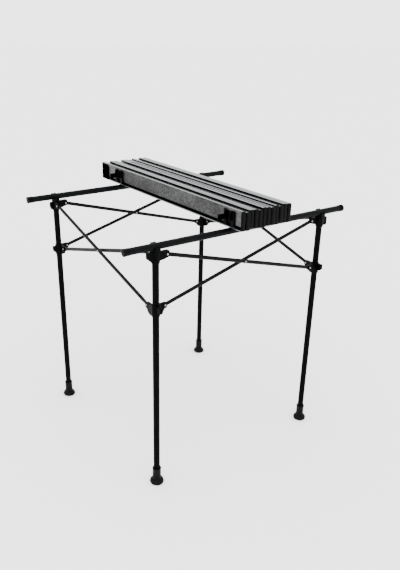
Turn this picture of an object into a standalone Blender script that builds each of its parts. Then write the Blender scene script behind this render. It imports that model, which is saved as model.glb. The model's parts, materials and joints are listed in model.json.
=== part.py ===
"""Folding camp table: a four-sided scissor frame, two rails and a stacked slat top.

Metres, +Z up, floor at z = 0. Front is -Y, left is -X. The table is drawn as in the photo:
the frame stands open, the rails lie in the hub saddles and the slats are stacked on edge.
"""
import math

import bpy
import bmesh
from mathutils import Matrix, Vector

# Frame
LEG_SPACING = 0.540
FRONT_Y = -0.3015
BACK_Y = FRONT_Y + LEG_SPACING
LEFT_X = -LEG_SPACING / 2
RIGHT_X = LEG_SPACING / 2
TUBE_R = 0.0085
TUBE_WALL = 0.0010
ROUND_STEPS = 20
GAP = 0.0003

# Heights
RAIL_Z = 0.674
HUB_DROP = 0.022
HUB_PIVOT_Z = RAIL_Z - HUB_DROP
SLIDER_PIVOT_Z = 0.519
PIVOT_REACH = 0.028

# Feet
FOOT_HEIGHT = 0.048
FOOT_FLOOR = 0.008
FOOT_R = 0.019
FOOT_WALL = 0.0016

# Scissor bars
BAR_R = 0.0040
BAR_FLAT = 0.0014

# Hub and slider mouldings
BORE_R = TUBE_R + GAP
COLLAR_WALL = 0.00195
COLLAR_R = BORE_R + COLLAR_WALL
CHEEK = 0.0026
SLOT_THICK = 2 * BAR_FLAT + 2 * GAP
LUG_THICK = SLOT_THICK + 2 * CHEEK
PLANE_OFFSET = LUG_THICK / 2 + 0.0007
LUG_TIP = PIVOT_REACH + 0.0055
LUG_ROOT = 0.0040
SLOT_ROOT = PIVOT_REACH - 0.0090
RIVET_R = 0.0020
RIVET_HOLE_R = RIVET_R + GAP
RIVET_HEAD_R = 0.0035
HEAD_THICK = 0.0010
RIVET_STEPS = 8
HEAD_STEPS = 10
HUB_SKIRT = 0.0280
HUB_CAP = 0.0040
SLIDER_HEIGHT = 0.0300
SADDLE_INNER = TUBE_R + 0.0004
SADDLE_WALL = 0.0028
SADDLE_FLOOR = 0.0032
SADDLE_LENGTH = 0.0145
BAR_RUN = LEG_SPACING - 2 * PIVOT_REACH
BAR_DROP = HUB_PIVOT_Z - SLIDER_PIVOT_Z
BAR_LENGTH = math.hypot(BAR_RUN, BAR_DROP)

# Rails
RAIL_LENGTH = 0.712
PLUG_LENGTH = 0.016
PLUG_R = BORE_R + 0.0009
PLUG_END = 0.003

# Slats
SLAT_COUNT = 12
SLAT_LENGTH = 0.700
SLAT_WIDTH = 0.050
SLAT_THICK = 0.013
SLAT_PITCH = SLAT_THICK + 0.0007
SLAT_WALL = 0.0011
SLAT_EDGE = 0.0011
RECESS_DEPTH = 0.0018
BEAD_WIDTH = 0.0065
END_CAP = 0.004
CAP_TENON = 0.014
SHOE_END = 0.004
NEAR_OVERHANG = 0.048
STACK_INSET = 0.217
STACK_LEFT = LEFT_X + STACK_INSET
STACK_Z = RAIL_Z + TUBE_R + GAP
NEAR_Y = FRONT_Y - NEAR_OVERHANG
HINGE_BEYOND = 0.003
BASE_SLAT = 8

# Clips
CLIP_HALF = 0.0205
CLIP_PLATE = 0.0040
CLIP_FLOOR = -0.0003
CRADLE_HALF = TUBE_R + GAP
ARM_THICK = 0.0028
ARM_REACH = 0.0105
ARM_LENGTH = 0.0215
TAB_REACH = 0.0230
TAB_WIDTH = 0.0140
TAB_THICK = 0.0030

CORNERS = {
    "front_left": (LEFT_X, FRONT_Y, 0),
    "front_right": (RIGHT_X, FRONT_Y, 1),
    "back_right": (RIGHT_X, BACK_Y, 2),
    "back_left": (LEFT_X, BACK_Y, 3),
}

for leftover in list(bpy.data.objects):
    bpy.data.objects.remove(leftover)

PARTS = bpy.data.collections.new("folding_camp_table")
TOOLS = bpy.data.collections.new("cutters")
bpy.context.scene.collection.children.link(PARTS)
bpy.context.scene.collection.children.link(TOOLS)


def material(name, colour, metallic, roughness):
    mat = bpy.data.materials.new(name)
    mat.use_nodes = True
    shader = mat.node_tree.nodes["Principled BSDF"]
    shader.inputs["Base Color"].default_value = (*colour, 1.0)
    shader.inputs["Metallic"].default_value = metallic
    shader.inputs["Roughness"].default_value = roughness
    return mat


def add_object(name, mesh, collection, mat=None):
    obj = bpy.data.objects.new(name, mesh)
    collection.objects.link(obj)
    if collection is TOOLS:
        obj.hide_render = True
        obj.display_type = "WIRE"
    if mat is not None and not mesh.materials:
        mesh.materials.append(mat)
    return obj


def shade_round(mesh):
    mesh.polygons.foreach_set("use_smooth", [True] * len(mesh.polygons))


def profile_mesh(name, points, closed):
    """A lathe profile in the XZ plane, from the top of the outer side down."""
    mesh = bpy.data.meshes.new(name)
    edges = [(i, i + 1) for i in range(len(points) - 1)]
    if closed:
        edges.append((len(points) - 1, 0))
    mesh.from_pydata([(r, 0.0, z) for r, z in points], edges, [])
    return mesh


def spin(obj, steps=ROUND_STEPS):
    """Turn the profile into a round solid about the object's own Z axis."""
    screw = obj.modifiers.new("lathe", "SCREW")
    screw.axis = "Z"
    screw.angle = math.tau
    screw.steps = steps
    screw.render_steps = steps
    screw.use_merge_vertices = True
    screw.merge_threshold = 0.00001
    screw.use_smooth_shade = True
    return screw


def prism_mesh(name, outline, low, high, frame=None):
    """Extrude a flat outline from low to high along the frame's third axis."""
    curve = bpy.data.curves.new(name, "CURVE")
    curve.dimensions = "2D"
    curve.fill_mode = "BOTH"
    curve.extrude = (high - low) / 2
    spline = curve.splines.new("POLY")
    spline.points.add(len(outline) - 1)
    for point, (u, v) in zip(spline.points, outline):
        point.co = (u, v, 0.0, 1.0)
    spline.use_cyclic_u = True
    holder = bpy.data.objects.new(name + "_curve", curve)
    TOOLS.objects.link(holder)
    bpy.context.view_layer.update()
    mesh = bpy.data.meshes.new_from_object(holder)
    bpy.data.objects.remove(holder)
    work = bmesh.new()
    work.from_mesh(mesh)
    bmesh.ops.remove_doubles(work, verts=work.verts, dist=0.00001)
    bmesh.ops.recalc_face_normals(work, faces=work.faces)
    bmesh.ops.translate(work, verts=work.verts, vec=(0.0, 0.0, (low + high) / 2))
    if frame is not None:
        work.transform(frame)
        if frame.to_3x3().determinant() < 0:
            bmesh.ops.reverse_faces(work, faces=work.faces)
    work.to_mesh(mesh)
    work.free()
    return mesh


def axes_frame(u_axis, v_axis, w_axis, origin=(0.0, 0.0, 0.0)):
    frame = Matrix((u_axis, v_axis, w_axis)).transposed().to_4x4()
    frame.translation = Vector(origin)
    return frame


def box_outline(u0, u1, v0, v1):
    return [(u0, v0), (u1, v0), (u1, v1), (u0, v1)]


def rod_mesh(name, radius, start, end, steps=12):
    """A plain round rod between two points."""
    start = Vector(start)
    end = Vector(end)
    work = bmesh.new()
    turn = (end - start).to_track_quat("Z", "Y").to_matrix().to_4x4()
    place = Matrix.Translation((start + end) / 2) @ turn
    bmesh.ops.create_cone(work, cap_ends=True, segments=steps, radius1=radius, radius2=radius,
                          depth=(end - start).length, matrix=place)
    mesh = bpy.data.meshes.new(name)
    work.to_mesh(mesh)
    work.free()
    return mesh


def joined_mesh(name, meshes):
    work = bmesh.new()
    for mesh in meshes:
        work.from_mesh(mesh)
    joined = bpy.data.meshes.new(name)
    work.to_mesh(joined)
    work.free()
    return joined


def combine(obj, tool, operation):
    """Add or cut with a tool that shares the object's place."""
    tool.matrix_world = obj.matrix_world.copy()
    step = obj.modifiers.new(tool.name, "BOOLEAN")
    step.operation = operation
    step.solver = "EXACT"
    step.object = tool
    return step


def pivot(name, place, parent=None):
    """An empty on a joint's axis that carries the pieces of one moving body."""
    empty = bpy.data.objects.new("pivot_" + name, None)
    PARTS.objects.link(empty)
    empty.empty_display_size = 0.02
    if parent is not None:
        empty.parent = parent
        empty.location = Vector(place) - parent.matrix_world.translation
    else:
        empty.location = place
    bpy.context.view_layer.update()
    return empty


def carry(obj, empty, place):
    obj.parent = empty
    obj.location = Vector(place) - empty.matrix_world.translation
    bpy.context.view_layer.update()
    return obj


BLACK_TUBE = material("black_tube", (0.012, 0.013, 0.014), 0.0, 0.42)
RAIL_PAINT = material("rail_paint", (0.015, 0.017, 0.019), 0.0, 0.38)
BAR_PAINT = material("bar_paint", (0.011, 0.012, 0.012), 0.0, 0.40)
MOULDING = material("moulding", (0.016, 0.016, 0.017), 0.0, 0.55)
FOOT_RUBBER = material("foot_rubber", (0.014, 0.014, 0.014), 0.0, 0.60)
PLUG_PLASTIC = material("plug_plastic", (0.010, 0.010, 0.010), 0.0, 0.45)
SLAT_METAL = material("slat_metal", (0.45, 0.46, 0.47), 1.0, 0.45)
CAP_PLASTIC = material("cap_plastic", (0.012, 0.012, 0.012), 0.0, 0.50)
CLIP_PLASTIC = material("clip_plastic", (0.012, 0.012, 0.012), 0.0, 0.48)


def quarter(turns):
    return Matrix.Rotation(turns * math.pi / 2, 4, "Z")


# Legs and feet
HUB_TOP = HUB_DROP - TUBE_R - GAP - SADDLE_FLOOR
LEG_TOP = HUB_PIVOT_Z + HUB_TOP - HUB_CAP - GAP
LEG_BOTTOM = FOOT_FLOOR + GAP


def foot_profile():
    """From the cup's floor up its wall, over the rim and down the dome to the ground."""
    neck = BORE_R + FOOT_WALL
    rim = neck + 0.0006
    spread = FOOT_R - neck
    dome = [(neck, 0.0200), (neck + 0.10 * spread, 0.0174), (neck + 0.40 * spread, 0.0148),
            (neck + 0.76 * spread, 0.0108), (FOOT_R, 0.0054), (FOOT_R - 0.0012, 0.0010),
            (FOOT_R - 0.0030, 0.0), (0.0, 0.0)]
    return [(0.0, FOOT_FLOOR), (BORE_R, FOOT_FLOOR), (BORE_R, FOOT_HEIGHT), (rim - 0.0003, FOOT_HEIGHT),
            (rim, FOOT_HEIGHT - 0.0008), (rim, FOOT_HEIGHT - 0.0024), (neck, FOOT_HEIGHT - 0.0030)] + dome


def make_leg(corner, empty):
    x, y, _ = CORNERS[corner]
    inner = TUBE_R - TUBE_WALL
    ring = [(TUBE_R, LEG_TOP), (TUBE_R, LEG_BOTTOM), (inner, LEG_BOTTOM), (inner, LEG_TOP)]
    leg = add_object("leg_" + corner, profile_mesh("leg_" + corner, ring, True), PARTS, BLACK_TUBE)
    spin(leg)
    carry(leg, empty, (x, y, 0.0))
    cup = profile_mesh("foot_" + corner, foot_profile(), False)
    foot = add_object("foot_" + corner, cup, PARTS, FOOT_RUBBER)
    spin(foot)
    carry(foot, empty, (x, y, 0.0))


# Hub: a capped socket, two fork lugs in a pinwheel and an open saddle for the rail
HUB_LUG = [(LUG_ROOT, HUB_TOP), (LUG_TIP - 0.0023, HUB_TOP), (LUG_TIP, HUB_TOP - 0.0024),
           (LUG_TIP, -0.0042), (LUG_TIP - 0.0019, -0.0062), (PIVOT_REACH - 0.0040, -0.0082),
           (COLLAR_R + 0.0042, -0.0108), (LUG_ROOT, -0.0118)]
SLIDER_TOP = 0.0088
SLIDER_BOTTOM = SLIDER_TOP - SLIDER_HEIGHT
SLIDER_LUG = [(LUG_ROOT, 0.0066), (LUG_TIP - 0.0020, 0.0066), (LUG_TIP, 0.0048), (LUG_TIP, -0.0052),
              (LUG_TIP - 0.0030, -0.0074), (PIVOT_REACH - 0.0018, -0.0086),
              (PIVOT_REACH - 0.0048, SLIDER_BOTTOM + 0.0070), (COLLAR_R + 0.0078, SLIDER_BOTTOM + 0.0032),
              (COLLAR_R + 0.0014, SLIDER_BOTTOM + 0.0006), (LUG_ROOT, SLIDER_BOTTOM + 0.0006)]


def lug_frames(turns, first_offset, second_offset):
    """Frames for the +X lug and the +Y lug of a corner, turned to that corner."""
    along_x = axes_frame((1, 0, 0), (0, 0, 1), (0, -1, 0), (0.0, first_offset, 0.0))
    along_y = axes_frame((0, 1, 0), (0, 0, 1), (1, 0, 0), (second_offset, 0.0, 0.0))
    return [quarter(turns) @ along_x, quarter(turns) @ along_y]


def fork_tools(name, outline, frames):
    """Lug blocks to add, slots to cut and rivet holes to drill."""
    half = LUG_THICK / 2
    slot = SLOT_THICK / 2
    blocks = []
    slots = []
    holes = []
    for number, frame in enumerate(frames):
        tag = f"{name}_{number}"
        blocks.append(prism_mesh(tag + "_lug", outline, -half, half, frame))
        cut = box_outline(SLOT_ROOT, LUG_TIP + 0.0060, -SLIDER_HEIGHT, HUB_DROP)
        slots.append(prism_mesh(tag + "_slot", cut, -slot, slot, frame))
        ends = [frame @ Vector((PIVOT_REACH, 0.0, side)) for side in (-LUG_THICK, LUG_THICK)]
        holes.append(rod_mesh(tag + "_hole", RIVET_HOLE_R, ends[0], ends[1], RIVET_STEPS))
    return blocks, slots, holes


def finish_moulding(obj, blocks, cuts, holes):
    for number, block in enumerate(blocks):
        combine(obj, add_object(f"{obj.name}_add_{number}", block, TOOLS), "UNION")
    bore = add_object(obj.name + "_bore", joined_mesh(obj.name + "_bore", cuts), TOOLS)
    combine(obj, bore, "DIFFERENCE")
    drill = add_object(obj.name + "_drill", joined_mesh(obj.name + "_drill", holes), TOOLS)
    combine(obj, drill, "DIFFERENCE")


def make_hub(corner, empty):
    x, y, turns = CORNERS[corner]
    name = "hub_" + corner
    top = HUB_TOP
    bottom = HUB_TOP - HUB_SKIRT
    body = [(0.0, top), (COLLAR_R - 0.0006, top), (COLLAR_R, top - 0.0006),
            (COLLAR_R, bottom + 0.0005), (COLLAR_R - 0.0005, bottom), (0.0, bottom)]
    hub = add_object(name, profile_mesh(name, body, False), PARTS, MOULDING)
    spin(hub)
    carry(hub, empty, (x, y, HUB_PIVOT_Z))
    frames = lug_frames(turns, -PLANE_OFFSET, PLANE_OFFSET)
    blocks, slots, holes = fork_tools(name, HUB_LUG, frames)
    rail_rise = HUB_DROP
    floor = HUB_TOP + SADDLE_FLOOR
    sunk = HUB_TOP - 0.0025
    outer = SADDLE_INNER + SADDLE_WALL
    rear_top = rail_rise + TUBE_R - 0.0006
    saddle = [
        (-outer, sunk), (outer, sunk), (outer, rear_top - 0.0016), (outer - 0.0010, rear_top),
        (SADDLE_INNER, rear_top), (SADDLE_INNER, floor + 0.0015), (SADDLE_INNER - 0.0015, floor),
        (0.0015 - SADDLE_INNER, floor), (-SADDLE_INNER, floor + 0.0015),
        (-SADDLE_INNER, rail_rise), (0.0008 - outer, rail_rise), (-outer, rail_rise - 0.0010),
    ]
    across = axes_frame((0, 1, 0), (0, 0, 1), (1, 0, 0))
    half = SADDLE_LENGTH / 2
    blocks.append(prism_mesh(name + "_saddle", saddle, -half, half, across))
    socket = rod_mesh(name + "_socket", BORE_R, (0, 0, bottom - 0.004), (0, 0, top - HUB_CAP), ROUND_STEPS)
    finish_moulding(hub, blocks, slots + [socket], holes)
    return hub


def make_slider(corner, empty):
    x, y, turns = CORNERS[corner]
    name = "slider_" + corner
    top = SLIDER_TOP
    bottom = SLIDER_BOTTOM
    body = [(0.0, top), (COLLAR_R - 0.0006, top), (COLLAR_R, top - 0.0006),
            (COLLAR_R, bottom + 0.0006), (COLLAR_R - 0.0006, bottom), (0.0, bottom)]
    slider = add_object(name, profile_mesh(name, body, False), PARTS, MOULDING)
    spin(slider)
    carry(slider, empty, (x, y, SLIDER_PIVOT_Z))
    frames = lug_frames(turns, PLANE_OFFSET, -PLANE_OFFSET)
    blocks, slots, holes = fork_tools(name, SLIDER_LUG, frames)
    bore = rod_mesh(name + "_through", BORE_R, (0, 0, bottom - 0.01), (0, 0, top + 0.01), ROUND_STEPS)
    finish_moulding(slider, blocks, slots + [bore], holes)
    return slider


# Bars: a round tube whose two ends are pressed flat, with its rivets in one piece
PRESSED = 1.32 * BAR_R
PRESS_END = 0.0130
BAR_STATIONS = [
    (-PRESSED, 0.30 * PRESSED, BAR_FLAT), (-0.78 * PRESSED, 0.70 * PRESSED, BAR_FLAT),
    (-0.40 * PRESSED, 0.94 * PRESSED, BAR_FLAT), (0.0, PRESSED, BAR_FLAT),
    (PRESS_END, PRESSED, BAR_FLAT), (PRESS_END + 0.0055, 1.16 * BAR_R, (BAR_FLAT + BAR_R) / 2),
    (PRESS_END + 0.0120, BAR_R, BAR_R),
]
BAR_SIDES = 8


def bar_mesh(name):
    """The bar along +X from its top pivot, pressed flat across Y at both ends."""
    stations = list(BAR_STATIONS)
    stations += [(BAR_LENGTH - s, w, t) for s, w, t in reversed(BAR_STATIONS)]
    work = bmesh.new()
    rings = []
    for along, half_wide, half_thick in stations:
        ring = []
        for k in range(BAR_SIDES):
            turn = math.tau * (k + 0.5) / BAR_SIDES
            c, s = math.cos(turn), math.sin(turn)
            flat = half_thick / half_wide
            power = 1.0 if flat > 0.9 else 0.55
            across = math.copysign(abs(c) ** power, c) * half_thick
            up = math.copysign(abs(s) ** min(1.0, power + 0.35), s) * half_wide
            ring.append(work.verts.new((along, across, up)))
        rings.append(ring)
    for a, b in zip(rings, rings[1:]):
        for k in range(BAR_SIDES):
            n = (k + 1) % BAR_SIDES
            work.faces.new((a[k], a[n], b[n], b[k]))
    work.faces.new(list(reversed(rings[0])))
    work.faces.new(rings[-1])
    bmesh.ops.recalc_face_normals(work, faces=work.faces)
    mesh = bpy.data.meshes.new(name)
    work.to_mesh(mesh)
    work.free()
    shade_round(mesh)
    return mesh


def rivet_mesh(name, along, shank, heads):
    """A shank with round heads, as a lathe about Y at one place along the bar."""
    low, high = shank
    shank_ends = ((along, low, 0.0), (along, high, 0.0))
    pieces = [rod_mesh(name + "_shank", RIVET_R, *shank_ends, RIVET_STEPS)]
    for number, (h0, h1) in enumerate(heads):
        tag = f"{name}_head_{number}"
        pieces.append(rod_mesh(tag, RIVET_HEAD_R, (along, h0, 0.0), (along, h1, 0.0), HEAD_STEPS))
    return pieces


def make_bar(name, start, end, outward, empty, outer):
    """One scissor bar between a hub pivot and a slider pivot, in its own plane."""
    start = Vector(start)
    end = Vector(end)
    run = (end - start).normalized()
    out = Vector(outward)
    up = run.cross(out).normalized()
    if up.z < 0:
        up = -up
    bar = add_object(name, bar_mesh(name), PARTS, BAR_PAINT)
    bar.rotation_mode = "QUATERNION"
    turn = Matrix((run, up.cross(run), up)).transposed()
    bar.rotation_quaternion = turn.to_quaternion()
    carry(bar, empty, start)
    side = 1.0 if (turn.col[1] - out).length < 0.01 else -1.0
    seat = LUG_THICK / 2 + GAP
    reach = seat + HEAD_THICK
    for number, along in enumerate((0.0, BAR_LENGTH)):
        heads = [(-reach, -seat), (seat, reach)]
        for k, piece in enumerate(rivet_mesh(f"{name}_r{number}", along, (-reach + 0.0004,
                                             reach - 0.0004), heads)):
            combine(bar, add_object(f"{name}_rivet_{number}_{k}", piece, TOOLS), "UNION")
    middle = BAR_LENGTH / 2
    far = 2 * PLANE_OFFSET + BAR_R
    if outer:
        spans = [(RIVET_HEAD_R, side * (BAR_R - 0.0006), side * (BAR_R + HEAD_THICK)),
                 (RIVET_HEAD_R, side * (GAP + 0.0004 - PLANE_OFFSET - 0.0014), -side * (BAR_R - 0.0012)),
                 (RIVET_R, -side * (far + 0.0006), -side * (BAR_R - 0.0012)),
                 (RIVET_HEAD_R, -side * (far + GAP + HEAD_THICK), -side * (far + GAP))]
        for k, (radius, y0, y1) in enumerate(spans):
            sides = HEAD_STEPS if radius > RIVET_R else RIVET_STEPS
            piece = rod_mesh(f"{name}_mid_{k}", radius, (middle, y0, 0.0), (middle, y1, 0.0), sides)
            combine(bar, add_object(f"{name}_centre_{k}", piece, TOOLS), "UNION")
    else:
        reach = BAR_R + 0.002
        hole = rod_mesh(name + "_hole", RIVET_HOLE_R, (middle, -reach, 0.0), (middle, reach, 0.0),
                        RIVET_STEPS)
        combine(bar, add_object(name + "_drill", hole, TOOLS), "DIFFERENCE")
    return bar


def corner_point(corner):
    x, y, _ = CORNERS[corner]
    return Vector((x, y, 0.0))


def bar_ends(top_corner, low_corner, outward, outer):
    """Pivot points of a bar that hangs from one corner's hub to the next corner's slider."""
    a = corner_point(top_corner)
    b = corner_point(low_corner)
    run = (b - a).normalized()
    shift = Vector(outward) * (PLANE_OFFSET if outer else -PLANE_OFFSET)
    start = a + run * PIVOT_REACH + shift + Vector((0.0, 0.0, HUB_PIVOT_Z))
    end = b - run * PIVOT_REACH + shift + Vector((0.0, 0.0, SLIDER_PIVOT_Z))
    return start, end


def scissor_bar(name, top_corner, low_corner, outward, outer, parent, from_top):
    """Make a bar on its own pivot: at its hub, or at the crossing when it hangs on its mate."""
    start, end = bar_ends(top_corner, low_corner, outward, outer)
    place = start if from_top else (start + end) / 2
    empty = pivot(name, place, parent)
    make_bar(name, start, end, outward, empty, outer)
    return empty, start, end


# The linkage: each side is a pair of bars, and each leg hangs on the bars of the side before it
FRONT = (0.0, -1.0, 0.0)
LEFT = (-1.0, 0.0, 0.0)
BACK = (0.0, 1.0, 0.0)
RIGHT = (1.0, 0.0, 0.0)

held = pivot("held_leg", (LEFT_X, FRONT_Y, 0.0))
make_leg("front_left", held)
make_hub("front_left", held)

front_top, _, front_end = scissor_bar(
    "front_bar_outer", "front_left", "front_right", FRONT, True, held, True)
front_low, front_hub, front_slider = scissor_bar(
    "front_bar_inner", "front_right", "front_left", FRONT, False, front_top, False)
leg_c = pivot("leg_front_right", front_hub, front_low)
make_leg("front_right", leg_c)
make_hub("front_right", leg_c)
make_slider("front_right", pivot("slider_front_right", front_end, front_top))
make_slider("front_left", pivot("slider_front_left", front_slider, front_low))

left_top, _, left_end = scissor_bar(
    "left_bar_inner", "front_left", "back_left", LEFT, False, held, True)
left_low, left_hub, left_slider = scissor_bar(
    "left_bar_outer", "back_left", "front_left", LEFT, True, left_top, False)
leg_b = pivot("leg_back_left", left_hub, left_low)
make_leg("back_left", leg_b)
make_hub("back_left", leg_b)
make_slider("back_left", pivot("slider_back_left", left_end, left_top))

back_top, _, back_end = scissor_bar(
    "back_bar_inner", "back_left", "back_right", BACK, False, leg_b, True)
back_low, back_hub, back_slider = scissor_bar(
    "back_bar_outer", "back_right", "back_left", BACK, True, back_top, False)
leg_d = pivot("leg_back_right", back_hub, back_low)
make_leg("back_right", leg_d)
make_hub("back_right", leg_d)
make_slider("back_right", pivot("slider_back_right", back_end, back_top))

right_top, _, _ = scissor_bar(
    "right_bar_outer", "front_right", "back_right", RIGHT, True, leg_c, True)
scissor_bar(
    "right_bar_inner", "back_right", "front_right", RIGHT, False, right_top, False)


# Rails and their end plugs
def make_rail(name, y, parent):
    empty = pivot(name, (0.0, y, RAIL_Z), parent)
    half = RAIL_LENGTH / 2 - PLUG_END - GAP
    inner = TUBE_R - TUBE_WALL
    ring = [(TUBE_R, half), (TUBE_R, -half), (inner, -half), (inner, half)]
    rail = add_object(name, profile_mesh(name, ring, True), PARTS, RAIL_PAINT)
    rail.rotation_euler = (0.0, math.pi / 2, 0.0)
    spin(rail)
    carry(rail, empty, (0.0, y, RAIL_Z))
    end = 0.0
    mouth = -PLUG_LENGTH
    cap = [(0.0, end), (PLUG_R - 0.0012, end), (PLUG_R, end - 0.0012), (PLUG_R, end - PLUG_END),
           (PLUG_R - 0.0003, end - PLUG_END - 0.0006), (PLUG_R - 0.0003, mouth), (BORE_R, mouth),
           (BORE_R, end - PLUG_END), (0.0, end - PLUG_END)]
    for side, tag in ((-1, "left"), (1, "right")):
        plug_name = f"{name}_plug_{tag}"
        plug = add_object(plug_name, profile_mesh(plug_name, cap, False), PARTS, PLUG_PLASTIC)
        plug.rotation_euler = (0.0, side * math.pi / 2, 0.0)
        spin(plug)
        carry(plug, empty, (side * RAIL_LENGTH / 2, y, RAIL_Z))
    return empty


rail_front = make_rail("rail_front", FRONT_Y, held)
rail_back = make_rail("rail_back", BACK_Y, leg_b)


# Slats: a hollow section with a recessed underside between two beads
def slat_outline():
    """Outline over width (u) and height above the underside (v)."""
    w, t, e = SLAT_WIDTH, SLAT_THICK, SLAT_EDGE
    b, r = BEAD_WIDTH, RECESS_DEPTH
    return [
        (0.0006, 0.0), (b - 0.0004, 0.0), (b, 0.0004), (b, r), (w - b, r), (w - b, 0.0004),
        (w - b + 0.0004, 0.0), (w - 0.0006, 0.0), (w, 0.0006), (w, t - e), (w - e * 0.3, t - e * 0.3),
        (w - e, t), (e, t), (e * 0.3, t - e * 0.3), (0.0, t - e), (0.0, 0.0006),
    ]


def slat_frame(mirrored):
    """Maps width, height and length to a slat on edge; the underside faces -X, or +X mirrored."""
    if mirrored:
        return axes_frame((0, 0, 1), (-1, 0, 0), (0, 1, 0), (SLAT_THICK, 0.0, 0.0))
    return axes_frame((0, 0, 1), (1, 0, 0), (0, 1, 0))


def slat_meshes(tag, mirrored):
    frame = slat_frame(mirrored)
    start = END_CAP + GAP
    solid = prism_mesh("slat_" + tag, slat_outline(), start, SLAT_LENGTH, frame)
    wall = SLAT_WALL
    floor = RECESS_DEPTH + wall - 0.0002
    hollow = box_outline(wall, SLAT_WIDTH - wall, floor, SLAT_THICK - wall)
    core = prism_mesh("slat_core_" + tag, hollow, -0.010, SLAT_LENGTH - SHOE_END, frame)
    edge = 0.0009
    w, t = SLAT_WIDTH, SLAT_THICK
    face = [(edge, 0.0), (w - edge, 0.0), (w, edge), (w, t - edge), (w - edge, t), (edge, t),
            (0.0, t - edge), (0.0, edge)]
    flange = prism_mesh("cap_" + tag, face, 0.0, END_CAP, frame)
    m = wall + 0.0004
    peg = box_outline(m, SLAT_WIDTH - m, floor + 0.0004, SLAT_THICK - m)
    tenon = prism_mesh("cap_peg_" + tag, peg, END_CAP - 0.001, END_CAP + CAP_TENON, frame)
    return solid, core, flange, tenon


SLAT_SETS = {"odd": slat_meshes("odd", False), "even": slat_meshes("even", True)}


def slat_left(number):
    return STACK_LEFT + (number - 1) * SLAT_PITCH


def hinge_line(number):
    """The line between one slat and the next: low after odd slats, high after even ones."""
    x = slat_left(number + 1) - (SLAT_PITCH - SLAT_THICK) / 2
    low = STACK_Z - HINGE_BEYOND
    high = STACK_Z + SLAT_WIDTH + HINGE_BEYOND
    return Vector((x, NEAR_Y + SLAT_LENGTH / 2, low if number % 2 else high))


def clip_meshes(underside_x, outward):
    """Plate with a groove, two cradle arms and a tab, over length (y) and reach (n)."""
    c, p = CRADLE_HALF, CLIP_PLATE
    back = -RECESS_DEPTH + GAP
    plate = [(-CLIP_HALF, back), (CLIP_HALF, back), (CLIP_HALF, p - 0.0006), (CLIP_HALF - 0.0006, p),
             (c, p), (c, CLIP_FLOOR), (-c, CLIP_FLOOR), (-c, p), (0.0006 - CLIP_HALF, p),
             (-CLIP_HALF, p - 0.0006)]
    frame = axes_frame((0, 1, 0), (outward, 0, 0), (0, 0, 1), (underside_x, 0.0, 0.0))
    plate_mesh = prism_mesh("clip_plate", plate, BEAD_WIDTH + GAP, SLAT_WIDTH - BEAD_WIDTH - GAP, frame)
    pieces = []
    for side in (-1, 1):
        near, far = sorted((side * c, side * CLIP_HALF))
        lip = box_outline(near, far, GAP, p - 0.0008)
        pieces.append(prism_mesh("clip_lip", lip, 0.0045, SLAT_WIDTH - 0.0045, frame))
        arm = [(side * c, 0.0010), (side * (c + ARM_THICK), 0.0010),
               (side * (c + ARM_THICK), ARM_REACH - 0.0012), (side * (c + ARM_THICK * 0.55), ARM_REACH),
               (side * c, ARM_REACH - 0.0004)]
        arm_top = SLAT_WIDTH - 0.0070
        pieces.append(prism_mesh("clip_arm", arm, arm_top - ARM_LENGTH, arm_top, frame))
    tab = box_outline(c + 0.0080, c + 0.0080 + TAB_THICK, 0.0010, TAB_REACH)
    middle = SLAT_WIDTH / 2
    pieces.append(prism_mesh("clip_tab", tab, middle - TAB_WIDTH / 2, middle + TAB_WIDTH / 2, frame))
    return plate_mesh, pieces


def make_clip(name, number, y, empty):
    left = number % 2 == 1
    x = slat_left(number) + (0.0 if left else SLAT_THICK)
    plate, pieces = clip_meshes(0.0, -1 if left else 1)
    clip = add_object(name, plate, PARTS, CLIP_PLASTIC)
    carry(clip, empty, (x, y, STACK_Z))
    for k, piece in enumerate(pieces):
        combine(clip, add_object(f"{name}_add_{k}", piece, TOOLS), "UNION")


def make_slat(number, empty):
    kind = "odd" if number % 2 else "even"
    solid, core, flange, tenon = SLAT_SETS[kind]
    place = (slat_left(number), NEAR_Y, STACK_Z)
    slat = add_object(f"slat_{number:02d}", solid, PARTS, SLAT_METAL)
    carry(slat, empty, place)
    hollow = add_object(f"slat_{number:02d}_hollow", core, TOOLS)
    combine(slat, hollow, "DIFFERENCE")
    cap = add_object(f"slat_{number:02d}_cap", flange, PARTS, CAP_PLASTIC)
    carry(cap, empty, place)
    peg = add_object(f"slat_{number:02d}_peg", tenon, TOOLS)
    combine(cap, peg, "UNION")


base_corner = Vector((slat_left(BASE_SLAT) + SLAT_THICK, NEAR_Y + SLAT_LENGTH / 2, STACK_Z))
slat_pivots = {BASE_SLAT: pivot(f"slat_{BASE_SLAT:02d}", base_corner, rail_front)}
for number in range(BASE_SLAT + 1, SLAT_COUNT + 1):
    slat_pivots[number] = pivot(f"slat_{number:02d}", hinge_line(number - 1), slat_pivots[number - 1])
for number in range(BASE_SLAT - 1, 0, -1):
    slat_pivots[number] = pivot(f"slat_{number:02d}", hinge_line(number), slat_pivots[number + 1])
for number in range(1, SLAT_COUNT + 1):
    make_slat(number, slat_pivots[number])
for number in (1, SLAT_COUNT):
    make_clip(f"clip_{number:02d}_front", number, FRONT_Y, slat_pivots[number])
    make_clip(f"clip_{number:02d}_back", number, BACK_Y, slat_pivots[number])
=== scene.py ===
# %% [markdown]
# # A folding camp table, dressed for a studio picture
#
# The real table is a cage of four black tubes joined by scissor bars. Two rails lie in its
# corner hubs, and a roll-up top of aluminium slats stands on edge across the rails. Every
# piece already exists as a plain solid. Here each one gets a finer surface and a finish, in
# the same metres and the same place, so that it still moves with its own body. The surfaces
# are computed as arrays and not pushed about by hand, because a formula can be read and
# changed.

# %% Load the solids
import json
import math

import bmesh
import bpy
import numpy as np
from mathutils import Matrix, Vector


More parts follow.
